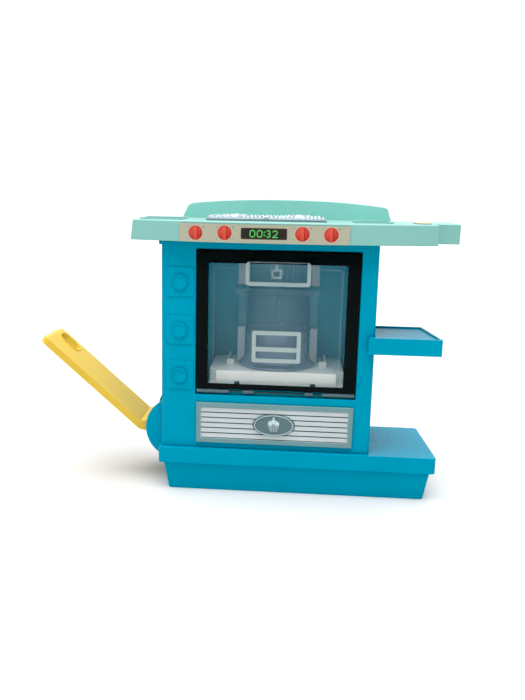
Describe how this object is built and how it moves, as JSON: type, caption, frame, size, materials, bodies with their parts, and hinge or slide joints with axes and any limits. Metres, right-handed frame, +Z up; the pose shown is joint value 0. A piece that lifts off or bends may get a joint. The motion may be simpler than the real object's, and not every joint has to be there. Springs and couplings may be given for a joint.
{
  "type": "toy kitchen",
  "caption": "Toy kitchen: cabinet with a clear bottom-hinged oven door, base, counter with hob, side shelf, and a side lever that lifts a plunger in a cake mould.",
  "frame": {"origin": "middle of the flat underside of the base", "axes": "+X to the right along the counter, +Y to the back, +Z up; the oven door faces -Y"},
  "size_m": [0.4267, 0.1234, 0.2979],
  "materials": {
    "teal_plastic": "satin moulded, teal blue",
    "mint_plastic": "satin moulded, pale mint",
    "yellow_plastic": "satin moulded, warm yellow",
    "white_plastic": "satin moulded, off-white",
    "black_frame": "glossy black",
    "clear_plastic": "clear polished styrene",
    "smoke_plastic": "translucent grey",
    "silver_plastic": "silver lacquered plastic",
    "label_film": "champagne printed film",
    "tan_film": "printed wood-colour film",
    "steel": "plated steel"
  },
  "bodies": {
    "cabinet": {"base_shell": "teal_plastic", "bottom_cover": "teal_plastic", "front_shell": "teal_plastic", "rear_shell": "teal_plastic", "oven_liner": "teal_plastic", "side_shelf": "teal_plastic", "counter_top": "mint_plastic", "backsplash": "mint_plastic", "oven_tray": "white_plastic", "door_catch": "white_plastic", "mould_latch": "white_plastic", "guide_post_left_lower": "white_plastic", "guide_post_left_upper": "white_plastic", "guide_post_right_lower": "white_plastic", "guide_post_right_upper": "white_plastic", "mould_left_half": "clear_plastic", "mould_right_half": "clear_plastic", "mould_base": "smoke_plastic", "mould_bridge": "smoke_plastic", "vent_plate": "silver_plastic", "badge": "silver_plastic", "hob_plate": "silver_plastic", "control_label": "label_film", "board_label": "tan_film", "hinge_rod": "steel", "base_screw_1": "steel", "base_screw_2": "steel", "base_screw_3": "steel", "base_screw_4": "steel", "base_screw_5": "steel", "base_screw_6": "steel", "shell_screw_1": "steel", "shell_screw_2": "steel", "shell_screw_3": "steel", "shell_screw_4": "steel", "shelf_screw_1": "steel", "shelf_screw_2": "steel"},
    "door": {"door_panel": "clear_plastic", "door_frame": "black_frame", "door_handle": "clear_plastic"},
    "lever": {"lever_paddle": "yellow_plastic", "lift_arm": "white_plastic", "lift_pin": "steel", "lever_axle": "steel", "arm_screw_1": "steel", "arm_screw_2": "steel"},
    "plunger": {"plunger_disc": "white_plastic", "plunger_post": "white_plastic"}
  },
  "joints": [
    {"name": "door_hinge", "type": "hinge", "parent": "cabinet", "child": "door", "pos_m": [0, -0.0481, 0.1066], "axis": [1, 0, 0], "range_deg": [0, 90]},
    {"name": "lever_press", "type": "hinge", "parent": "cabinet", "child": "lever", "pos_m": [-0.1257, 0, 0.0619], "axis": [0, -1, 0], "range_deg": [0, 42]},
    {"name": "plunger_lift", "type": "slide", "parent": "cabinet", "child": "plunger", "axis": [0, 0, 1], "range_m": [0, 0.0742]}
  ],
  "couplings": [
    {"joint": "plunger_lift", "follows": "lever_press", "m_per_rad": 0.1007}
  ]
}
